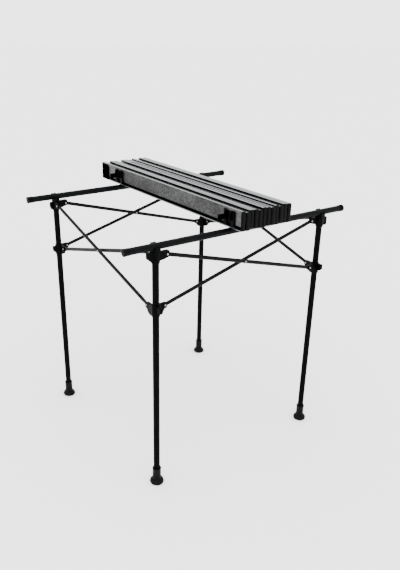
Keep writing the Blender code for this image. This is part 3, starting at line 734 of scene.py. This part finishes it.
def pressed(along, length):
    """Half width, half thickness and the smooth step of the bar at each place along it.

    The middle is a slightly flat tube, 1.30 radii wide against one. Toward a pivot the width
    goes to 1.32 radii and the thickness falls to the pressed one, along the step
    s * s * (3 - 2s) that runs between 25 and 13 mm from the pivot. Past the pivot the width
    closes in a half circle.
    """
    from_end = np.minimum(along, length - along)
    step = np.clip((from_end - PRESSED_TO) / SHOULDER, 0.0, 1.0)
    step = step * step * (3 - 2 * step)
    past = np.clip(-from_end, 0, TIP_WIDE) / TIP_WIDE
    round_tip = np.sqrt(np.clip(1 - past ** 2, 0.02, 1))
    wide = (TIP_WIDE + (OVAL * BAR_R - TIP_WIDE) * step) * round_tip
    thick = FLAT_HALF + (BAR_R - FLAT_HALF) * step
    return wide, thick, step


def bar_surface(name, start, end, out):
    """An outline of 24 points carried from pivot to pivot and past both.

    At angle a its point is thick * |cos a|^p across the bar and wide * |sin a|^q up, with the
    signs of cos and sin, p = 0.45 + 0.55 * step and q = 0.5 + p / 2. Both are 1 on the round
    tube and less where it is pressed, which squares it.
    """
    length = np.linalg.norm(end - start)
    run = (end - start) / length
    rise = np.cross(out, run)
    press = np.linspace(0.0, FINE_TO, 12)
    along = np.concatenate([TIP_STATIONS, press, length - press[::-1],
                            length - TIP_STATIONS[::-1]])
    wide, thick, step = pressed(along, length)
    angle = np.linspace(0.0, math.tau, 24, endpoint=False)
    power = (0.45 + 0.55 * step)[:, None]
    c = np.sign(np.cos(angle)) * np.abs(np.cos(angle))[None] ** power
    s = np.sign(np.sin(angle)) * np.abs(np.sin(angle))[None] ** (0.5 + 0.5 * power)
    grid = (start + along[:, None, None] * run + (thick[:, None] * c)[..., None] * out
            + (wide[:, None] * s)[..., None] * rise)
    return grid_surface(name, grid, PLATE_SHARP)


print("bar: middle", round(2 * OVAL * BAR_R * MM, 1), "x", round(2 * BAR_R * MM, 1),
      "mm, pressed end", round(2 * TIP_WIDE * MM, 1), "x", round(2 * FLAT_HALF * MM, 1), "mm")

# %% [markdown]
# ## Rivets
#
# The eye finds the rivets first on the black frame, because their plating is bright. A press
# forms their ends into shallow domes on a plain shank. They could be part of the bar, but as
# pieces of their own, each a short lathe along its pivot's axis, they have their own shine.

# %% Rivet shape
RIVET_HEAD, SHANK, SUNK = 0.0027, 0.0019, 0.0003
HEAD_LINE = np.array([(0.0002, 0.0012), (RIVET_HEAD * 0.45, 0.0011), (RIVET_HEAD * 0.75, 0.0008),
                      (RIVET_HEAD * 0.94, 0.0004), (RIVET_HEAD, 0.0)])


def rivet(name, centre, out, low, high):
    """A domed head outside low and high, and between them a thinner shank, as one profile."""
    axis = "X" if abs(out[0]) > 0.5 else "Y"
    top = HEAD_LINE + (0.0, high)
    bottom = HEAD_LINE[::-1] * (1, -1) + (0.0, low)
    shank = [(RIVET_HEAD, high - SUNK), (SHANK, high - SUNK), (SHANK, low + SUNK),
             (RIVET_HEAD, low + SUNK)]
    profile = np.concatenate([top, shank, bottom]) * (1, out[0] + out[1])
    return turned(name, profile, centre, axis=axis, steps=24, sharp=45.0)


print("rivet head:", round(2 * RIVET_HEAD * MM, 1), "mm, domed by", HEAD_LINE[0, 1] * MM, "mm")

# %% [markdown]
# ## Where the bars go
#
# Two bars cross on each side of the cage, one 5 mm outside the line between the legs and one
# 5 mm inside. The outer bar runs from the hub of the corner that is listed first to the slider
# of the second, and the inner bar the other way. So each hub holds one of each, they never
# meet, and one rule places all eight, where typed points could hide an error.

# %% Bars and rivets
HUB_Z, SLIDER_Z = 0.652, 0.519
REACH, OFFSET = 0.028, 0.005
SEATS, CROSSING_SEATS = (-0.0046, 0.0046), (-0.0093, 0.0092)
SIDES = {"front": ("front_left", "front_right", (0.0, -1.0, 0.0)),
         "left": ("back_left", "front_left", (-1.0, 0.0, 0.0)),
         "back": ("back_right", "back_left", (0.0, 1.0, 0.0)),
         "right": ("front_right", "back_right", (1.0, 0.0, 0.0))}

for side, (first, second, out) in SIDES.items():
    out = np.array(out)
    for plane, sign, hub_corner, low_corner in (("outer", 1.0, first, second),
                                                ("inner", -1.0, second, first)):
        a, b = leg_axis(hub_corner), leg_axis(low_corner)
        run = (b - a) / np.linalg.norm(b - a)
        start = a + run * REACH + out * OFFSET * sign + np.array([0, 0, HUB_Z])
        end = b - run * REACH + out * OFFSET * sign + np.array([0, 0, SLIDER_Z])
        node = f"{side}_bar_{plane}"
        bar = bar_surface(f"scissor_bar_{side}_{plane}", start, end, out)
        dress(bar, LIT_BAR_COAT, node, [node])
        for tag, spot in (("hub", start), ("slider", end)):
            pin = rivet(f"rivet_{side}_{plane}_{tag}", spot, out, *SEATS)
            dress(pin, ZINC, node)
    # The inner bar's middle, moved out to the plane between the two bars
    crossing = (start + end) / 2 + out * OFFSET
    pin = rivet(f"rivet_{side}_crossing", crossing, out, *CROSSING_SEATS)
    dress(pin, ZINC, f"{side}_bar_outer")
print("bars:", 2 * len(SIDES), "of", round(np.linalg.norm(end - start) * MM, 1),
      "mm between pivots, rivets:", 5 * len(SIDES))

# %% [markdown]
# ## The slat's section
#
# A slat is an aluminium extrusion 50 mm wide and 13 mm thick. Its underside is a recessed web
# between two beads. It could be cut from a block, but an extrusion is a section pushed along
# a line, so the section is drawn once, with an arc on every corner. At the far end a shoe
# takes the place of the beads, and the metal has a plainer section there.

# %% Slat section
WIDTH, THICK, BEAD, RECESS = 0.050, 0.013, 0.0065, 0.0018
LOW_BEAD, LIP, EDGE_LINE = 0.0112, 0.0032, 0.0046
SHOE_RUN, SHOE_DEEP, END_BLOCK = 0.044, 0.0032, 0.004
SHOE_STEP = 0.0014
SECTION_RADII = np.array([0.8, 0.2, 0.6, 0.5, 0.5, 0.6, 0.9, 0.2, 0.2, 1.0, 0.3, 1.2]) / MM
SEAT_RADII = np.array([0.3, 0.3, 0.3, 0.6, 2.2, 1.2]) / MM


def trimmed(top_gap):
    """The section's outline over width and height, from its foot along the underside and back.

    Its hidden face is set back by top_gap, so that a gap is left to the neighbour.
    """
    w, t, b, r = WIDTH, THICK - top_gap, BEAD, RECESS
    corners = [(0, 0), (LIP, 0), (LOW_BEAD, 0), (LOW_BEAD, r), (w - b, r), (w - b, 0), (w, 0),
               (w, EDGE_LINE), (w, t - EDGE_LINE), (w, t), (w - b, t), (0, t)]
    return rounded(corners, SECTION_RADII, 6)


def shoe_seat(top_gap):
    """The same section where the far shoe takes the place of the beads and the web."""
    w, t, d = WIDTH, THICK - top_gap, SHOE_DEEP
    corners = [(0, d), (w - SHOE_STEP, d), (w - SHOE_STEP, 0.0), (w, 0.0), (w, t), (0, t)]
    return rounded(corners, SEAT_RADII, 6)


print("slat section:", len(trimmed(0.0)), "points, at the shoe:", len(shoe_seat(0.0)))

# %% [markdown]
# ## Carrying a section along the slat
#
# The slats stand on edge, so a section's width becomes height, and its height becomes a step
# to the left or right. Undersides look left and right in turn, because the top folds like a
# fan. A slat is a long part and a short tail. A boolean could join the two, but their touching
# ends can't be seen, so putting both in one mesh is enough.

# %% Carry and join
SECTION_SHARP = 30.0


def carried(name, outlines, stations, place, underside_left):
    """Outlines over width and height, carried along Y and stood on edge.

    z = foot + width, x = left + height, or left + thickness - height if it faces right.
    """
    left, foot = place
    outlines = np.asarray(outlines)
    high = outlines[..., 1] if underside_left else THICK - outlines[..., 1]
    along = np.broadcast_to(np.asarray(stations)[:, None], high.shape)
    grid = np.stack([left + high, along, foot + outlines[..., 0]], axis=-1)
    return grid_surface(name, grid, SECTION_SHARP)


def drawn_in(shape, share=0.985):
    """A broken edge for a cut end: middle of the section + share * (point - middle)."""
    middle = np.array([WIDTH / 2, THICK / 2])
    return middle + (shape - middle) * share


def joined(name, pieces):
    """One mesh from several closed ones."""
    work = bmesh.new()
    for piece in pieces:
        work.from_mesh(piece.data)
        bpy.data.objects.remove(piece)
    mesh = bpy.data.meshes.new(name)
    work.to_mesh(mesh)
    work.free()
    return link(name, mesh, SECTION_SHARP)


def looks_left(number):
    """Whether a slat's underside faces left: the odd ones do."""
    return number % 2 == 1


print("undersides that face left:", [n for n in range(1, 13) if looks_left(n)])

# %% [markdown]
# ## An uneven stack
#
# The stack is never quite tidy. Its slats lean together in twos and threes: 1 and 2, 3 to 5,
# 6 to 8, 9 and 10, 11 and 12. Their upper edges, gaps and near ends are a little uneven, which
# makes the dark lines along the stack, with black painted shade beside some edges for the shade
# in the gaps. Random numbers would do for any stack, but this one is known, so each slat has
# its own values.

# %% Uneven stack
TOP_EDGE_SHADED = (1, 4, 6, 7, 9)
OPEN_GAPS = np.array([0.8, 0.8, 0.6, 0.6, 1.3, 1.3, 0.6, 0.6, 0.7, 0.7, 0.5, 0.0]) / MM
LOWER_TOPS = np.array([0.0, 4.6, 0.0, 0.9, 4.6, 0.2, 1.3, 3.0, 0.3, 4.2, 0.2, 1.2]) / MM
SET_BACK = np.array([1.2, 0.0, 2.2, 1.2, 0.4, 2.4, 1.4, 0.2, 2.0, 0.6, 1.6, 0.8]) / MM
print("upper edges differ by", round(np.ptp(LOWER_TOPS) * MM, 1), "mm, near ends by",
      round(np.ptp(SET_BACK) * MM, 1), "mm")

# %% [markdown]
# ## Metal, web and painted shade
#
# One slat shows three finishes: bare metal, the etched web, and black painted shade along some
# edges and grooves, where the gaps lie in shade. Three separate pieces would leave seams, so it
# stays one mesh with three material slots, and arrays of the faces' normals and centres sort
# every face into its slot.

# %% Zones
WEB, SHADE_ZONE = 1, 2
SKIN, EDGE_SKIN, FLAT_TOP, SHALLOW = 0.0004, 0.0003, 0.0009, 0.3 * RECESS
SQUARE_ON, MOSTLY, LEANING = 0.9, 0.6, 0.3


def zones(piece, underside_left, left, foot, top, number):
    """Marks the web as 1 and the painted shade as 2; the rest stays bare metal 0.

    Black painted shade, for the shade in grooves and gaps, lies on the lower bead above its
    lip, on the upper bead of every slat but the first, and beside the upper edge of the face
    that looks left. The slats in the list of shaded upper edges also get painted shade, 4.6 mm
    wide, on the right of their upper edge. The first slat's upper bead is web.
    """
    count = len(piece.data.polygons)
    normals = np.empty(count * 3)
    centres = np.empty(count * 3)
    piece.data.polygons.foreach_get("normal", normals)
    piece.data.polygons.foreach_get("center", centres)
    to_left = -normals.reshape(-1, 3)[:, 0]
    facing = to_left if underside_left else -to_left
    centres = centres.reshape(-1, 3)
    deep = centres[:, 0] - left if underside_left else left + THICK - centres[:, 0]
    wide = centres[:, 2] - foot
    under_top = top - wide
    web = (facing > SQUARE_ON) & (np.abs(deep - RECESS) < SHALLOW)
    beads = (facing > LEANING) & (deep < SHALLOW)
    upper_bead = (under_top < BEAD + SKIN) & (under_top > EDGE_SKIN)
    painted_shade = beads & (wide > LIP) & (wide < LOW_BEAD + SKIN)
    if number in TOP_EDGE_SHADED:
        painted_shade |= (under_top < FLAT_TOP) & (centres[:, 0] > centres[:, 0].max() - EDGE_LINE)
    if number == 1:
        web |= beads & (wide > LOW_BEAD + SKIN)
    else:
        painted_shade |= (beads | ((to_left > MOSTLY) & ~web)) & upper_bead
    marks = np.where(web, WEB, np.where(painted_shade, SHADE_ZONE, 0)).astype(np.int32)
    piece.data.polygons.foreach_set("material_index", marks)
    return np.bincount(marks, minlength=3)


print("zones: bare metal 0, web", WEB, "and strip", SHADE_ZONE)

# %% [markdown]
# ## Slats and far shoes
#
# Each extrusion is cut off square and its edge broken, which a slightly smaller first outline
# gives. The far shoe is a black moulding: a flat plate where the beads end, and a block that
# closes the slat. A bevel would round the block evenly, and outlines that draw in toward its
# face round only that. The shoe rides with its slat and shares its solid.

# %% Slats and shoes
BROKEN_EDGE = 0.0003
SHOE_GAP, SHOE_EDGE, SHOE_SHORT = 0.0001, 0.0005, 0.0016
PLATE_RADII = np.array([1.0, 0.6, 0.2, 0.2]) / MM
BLOCK_ROUND = 0.0016
FACE_STATIONS, FACE_SHARES = (0.0010, 0.0003, 0.0), (0.97, 0.90)


def slat_extrusion(number, low, high, gap, top):
    """Long part and tail as one mesh, with its upper edge at top instead of the full width."""
    place, left_face = (low[0], low[2]), looks_left(number)
    squeeze = np.array([top / WIDTH, 1.0])
    long, seat = trimmed(gap) * squeeze, shoe_seat(gap) * squeeze
    near, split = low[1] + SET_BACK[number - 1], high[1] - SHOE_RUN
    body = carried("body", [drawn_in(long), long, long], [near, near + BROKEN_EDGE, split],
                   place, left_face)
    tail = carried("tail", [seat, seat], [split, high[1] - END_BLOCK], place, left_face)
    return joined(f"slat_extrusion_{number:02d}", [body, tail])


def far_shoe(number, low, high, gap, top):
    """A plate along the underside and a block over the whole end, as one mesh."""
    place, left_face = (low[0], low[2]), looks_left(number)
    split, stop_from = high[1] - SHOE_RUN, high[1] - END_BLOCK
    reach, deep = top - SHOE_SHORT, SHOE_DEEP - SHOE_GAP
    plate = rounded([(0, 0), (reach, 0), (reach, deep), (0, deep)], PLATE_RADII, 6)
    block = rounded([(0, 0), (top, 0), (top, THICK - gap), (0, THICK - gap)], BLOCK_ROUND, 6)
    run = carried("run", [drawn_in(plate, 0.99), plate, plate],
                  [split + SHOE_GAP, split + SHOE_EDGE, stop_from], place, left_face)
    faces = [drawn_in(block, share) for share in FACE_SHARES]
    stop = carried("stop", [block, block, *faces],
                   [stop_from, *(high[1] - back for back in FACE_STATIONS)], place, left_face)
    return joined(f"slat_far_shoe_{number:02d}", [run, stop])


for number in range(1, 13):
    node = f"slat_{number:02d}"
    low, high = box(node)
    gap, top = OPEN_GAPS[number - 1], WIDTH - LOWER_TOPS[number - 1]
    slat = slat_extrusion(number, low, high, gap, top)
    dress(slat, ALUMINIUM, node, [node])
    slat.data.materials.append(BLOTCHED)
    # Slot 2 is black painted shade, for the shade in the gaps and grooves
    slat.data.materials.append(SHADE_PAINT)
    marks = zones(slat, looks_left(number), low[0], low[2], top, number)
    shoe = far_shoe(number, low, high, gap, top)
    dress(shoe, SHOE_NYLON, node)
print("slat:", round((high[1] - low[1]) * MM, 1), "mm long; bare, web and strip faces", marks)

# %% [markdown]
# ## Near end caps
#
# Each near end is closed by a black moulded cap. Its long edges are rounded over nearly the
# whole depth, so the row looks like pillars with dark slots between them. A bevelled plate
# would have an even rim all round. Sides that draw in on a quarter circle, and ends that draw
# in less, give the real cap's pillow shape. Feet and tops are as uneven as the slats.

# %% Near caps
ROUND, CAP_DEEP, CAP_CORNER, LEAST_GAP = 0.0036, 0.0042, 0.0020, 0.0006
END_SHARE, SIDE_SHARE = 0.4, 0.95
CAP_STATIONS = np.array([0.0, 0.00008, 0.0003, 0.0008, 0.0016, 0.0026, ROUND, CAP_DEEP])
RAISED_FOOT = np.array([0.6, 0.0, 2.8, 2.2, 0.6, 0.0, 2.6, 1.8, 0.2, 2.4, 1.6, 0.2]) / MM
CAP_OVER = np.array([0.0, 0.6, 0.0, 0.5, 0.9, 0.2, 0.4, 0.8, 0.3, 0.9, 0.2, 0.4]) / MM


def end_cap(name, place, near, gap, foot, top, underside_left):
    """A plate carried along Y whose edges draw in on a quarter circle toward the face.

    At depth d the circle stands back by r - sqrt(r^2 - (r - d)^2), with r the rounding, and
    by nothing past it. The sides take 95% of that and the ends 40%.
    """
    left_to_go = ROUND - np.minimum(CAP_STATIONS, ROUND)
    back = ROUND - np.sqrt(np.clip(ROUND ** 2 - left_to_go ** 2, 0.0, None))
    outlines = []
    for end, side in zip(END_SHARE * back, SIDE_SHARE * back):
        outlines.append(rounded([(foot + end, side), (top - end, side),
                                 (top - end, THICK - gap - side),
                                 (foot + end, THICK - gap - side)], CAP_CORNER, 5))
    return carried(name, outlines, near + CAP_STATIONS, place, underside_left)


for number in range(1, 13):
    node = f"slat_{number:02d}_cap"
    low, high = box(node)
    k = number - 1
    cap = end_cap(f"slat_end_cap_{number:02d}", (low[0], low[2]), low[1] + SET_BACK[k],
                  max(OPEN_GAPS[k], LEAST_GAP), RAISED_FOOT[k],
                  WIDTH - LOWER_TOPS[k] + CAP_OVER[k], looks_left(number))
    dress(cap, LIT_CAP_NYLON, node, [node])
print("near caps: 12, their tops uneven by", round(np.ptp(LOWER_TOPS - CAP_OVER) * MM, 1), "mm")

# %% [markdown]
# ## The floor
#
# The picture is a cut-out on white. A small sheet of paper would show its edge from low down,
# so the floor is a square of 80 m. It lies a hair below the feet, because two surfaces at the
# very same height flicker.

# %% Floor
SPAN = 40.0
BELOW_FEET = 0.0004
floor_mesh = bpy.data.meshes.new("studio_floor")
floor_mesh.from_pydata([(-SPAN, -SPAN, 0), (SPAN, -SPAN, 0), (SPAN, SPAN, 0), (-SPAN, SPAN, 0)],
                       [], [(0, 1, 2, 3)])
floor = bpy.data.objects.new("studio_floor", floor_mesh)
floor.location.z = -BELOW_FEET
bpy.context.scene.collection.objects.link(floor)
# White paper: bright and quite matt, so that the floor has no highlight of its own
paper = finish("white_paper_floor", "#f6f6f6", 0.9)[0]
floor_mesh.materials.append(paper)
floor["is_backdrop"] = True
print("floor:", 2 * SPAN, "m square")

# %% [markdown]
# ## Light
#
# The light in the picture comes from all round, a little more from above, with hardly any
# shadow. Many lamps could do that, but a white world does it with none. It is brighter near
# the ground, so that it meets the floor without a horizon. One very soft overhead light, 100
# degrees wide, gives the upper faces their lead.

# %% Light
LOW_SKY, HIGH_SKY = 0.10, 0.45
LOW_STRENGTH, HIGH_STRENGTH = 3.4, 2.3
LAMP_STRENGTH, LAMP_WIDTH, LAMP_TURN = 4.0, 100.0, (12.0, -14.0)

world = bpy.data.worlds.new("white_studio")
world.use_nodes = True
sky = world.node_tree.nodes["Background"]
sky.inputs["Color"].default_value = (1.0, 1.0, 1.0, 1.0)
direction = add(world.node_tree, "ShaderNodeTexCoord").outputs["Generated"]
height = add(world.node_tree, "ShaderNodeSeparateXYZ", Vector=direction)
fade = add(world.node_tree, "ShaderNodeMapRange",
           {"From Min": LOW_SKY, "From Max": HIGH_SKY, "To Min": LOW_STRENGTH,
            "To Max": HIGH_STRENGTH}, Value=height.outputs["Z"])
world.node_tree.links.new(fade.outputs["Result"], sky.inputs["Strength"])
bpy.context.scene.world = world

overhead = bpy.data.lights.new("overhead_light", "SUN")
overhead.energy = LAMP_STRENGTH
overhead.angle = math.radians(LAMP_WIDTH)
lamp = bpy.data.objects.new("overhead_light", overhead)
bpy.context.scene.collection.objects.link(lamp)
lamp.location = (-0.5, -0.5, 3.0)
lamp.rotation_euler = (math.radians(LAMP_TURN[0]), math.radians(LAMP_TURN[1]), 0.0)
print("light: world", LOW_STRENGTH, "to", HIGH_STRENGTH, "and one lamp of", LAMP_STRENGTH)

# %% [markdown]
# ## Sizes
#
# Every piece now stands where its solid stood. The whole object's box is printed.

# %% Sizes
low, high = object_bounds()
print("visual box:", [round(v, 4) for v in low], [round(v, 4) for v in high])
